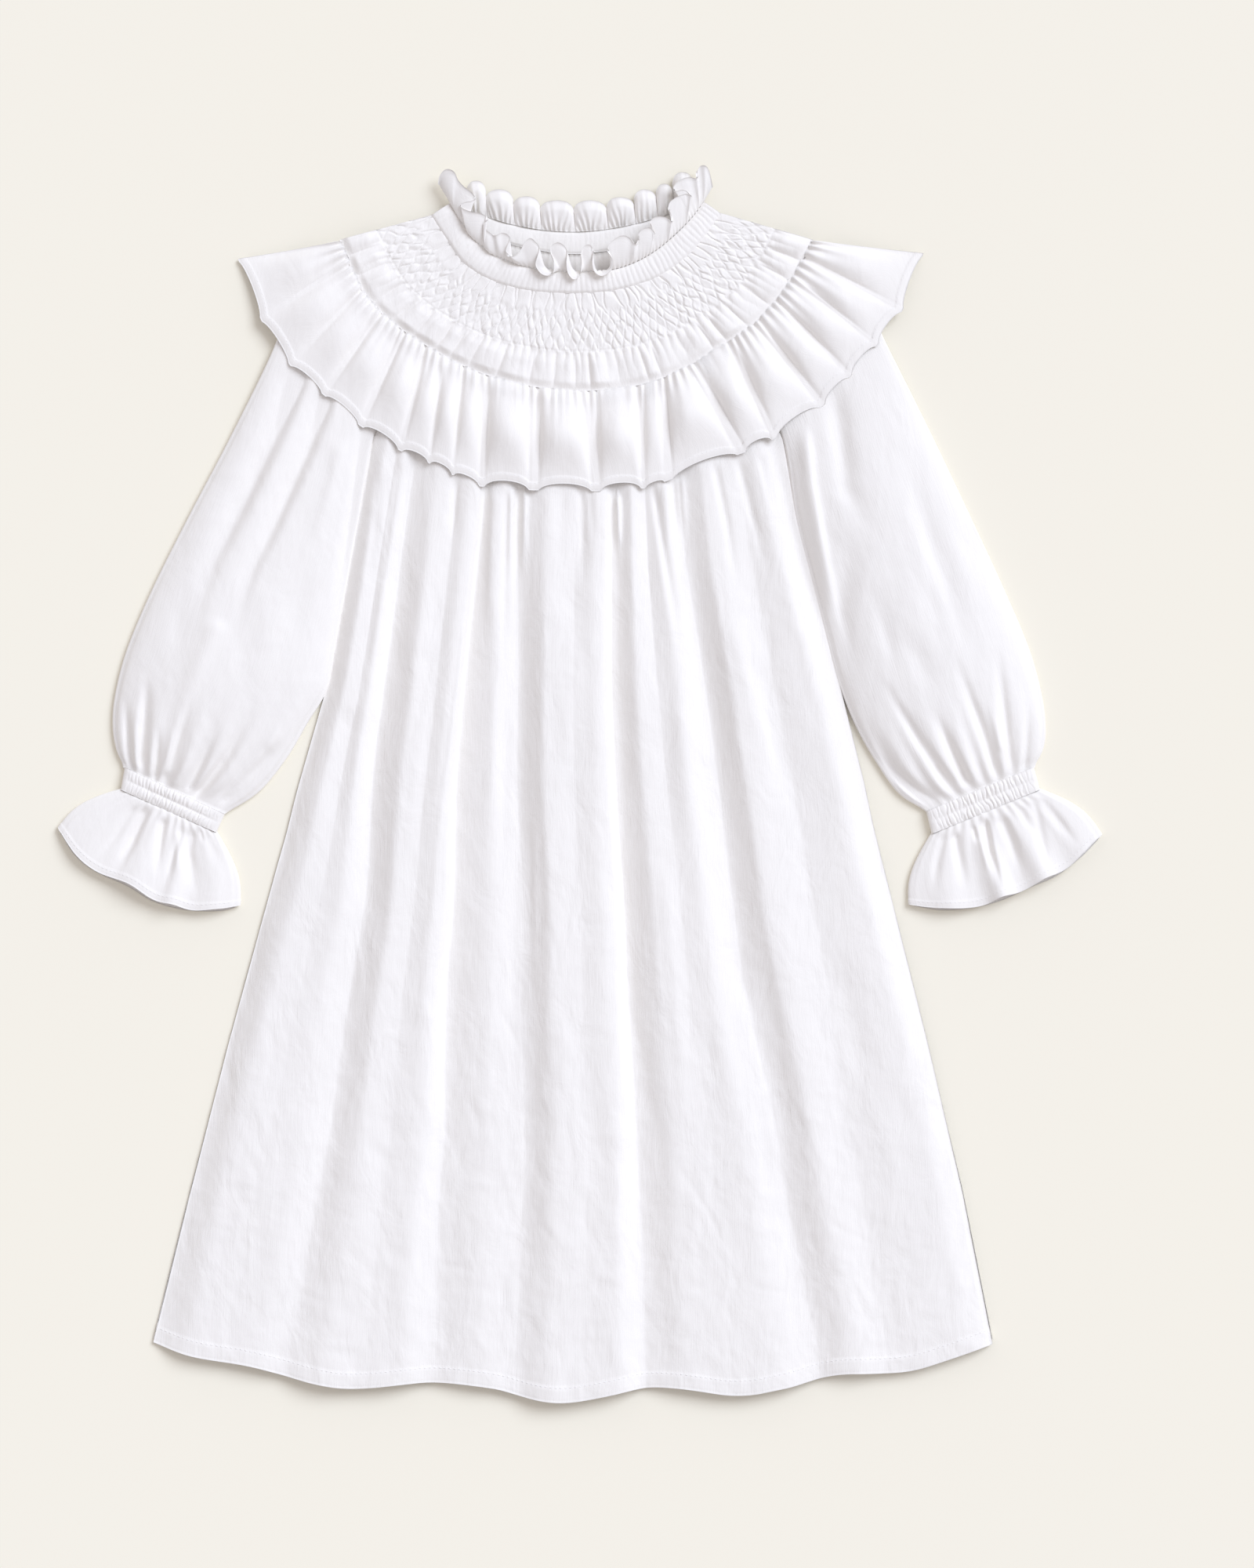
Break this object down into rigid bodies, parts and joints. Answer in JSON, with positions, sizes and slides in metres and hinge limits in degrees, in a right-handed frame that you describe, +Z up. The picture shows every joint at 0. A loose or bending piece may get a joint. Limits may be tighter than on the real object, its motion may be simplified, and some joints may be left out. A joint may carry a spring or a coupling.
{
  "type": "peasant dress",
  "caption": "White cotton peasant dress laid flat: smocked yoke with wide ruffle, frilled neck, full sleeves with ruffled cuffs, A-line body.",
  "frame": {"origin": "centre of the laid-out dress in plan, on the surface that it lies on", "axes": "+Z up out of the surface, away from the back of the dress; +Y from hem to neck; +X towards the sleeve on the right of the picture"},
  "size_m": [0.5462, 0.6458, 0.0192],
  "materials": {
    "cotton": "matt white cotton lawn with a faint crinkle",
    "cotton_shirred": "matt white cotton lawn gathered in stitched rows",
    "thread": "matt white sewing thread"
  },
  "bodies": {
    "root": {"body_front": "cotton", "body_back": "cotton", "yoke_front": "cotton_shirred", "yoke_back": "cotton_shirred", "neckband_front": "cotton_shirred", "neckband_back": "cotton_shirred", "neck_frill_front": "cotton", "neck_frill_back": "cotton", "yoke_ruffle_front": "cotton", "yoke_ruffle_back": "cotton", "sleeve_left": "cotton", "sleeve_right": "cotton", "cuff_left": "cotton_shirred", "cuff_right": "cotton_shirred", "cuff_ruffle_left": "cotton", "cuff_ruffle_right": "cotton"}
  },
  "joints": []
}
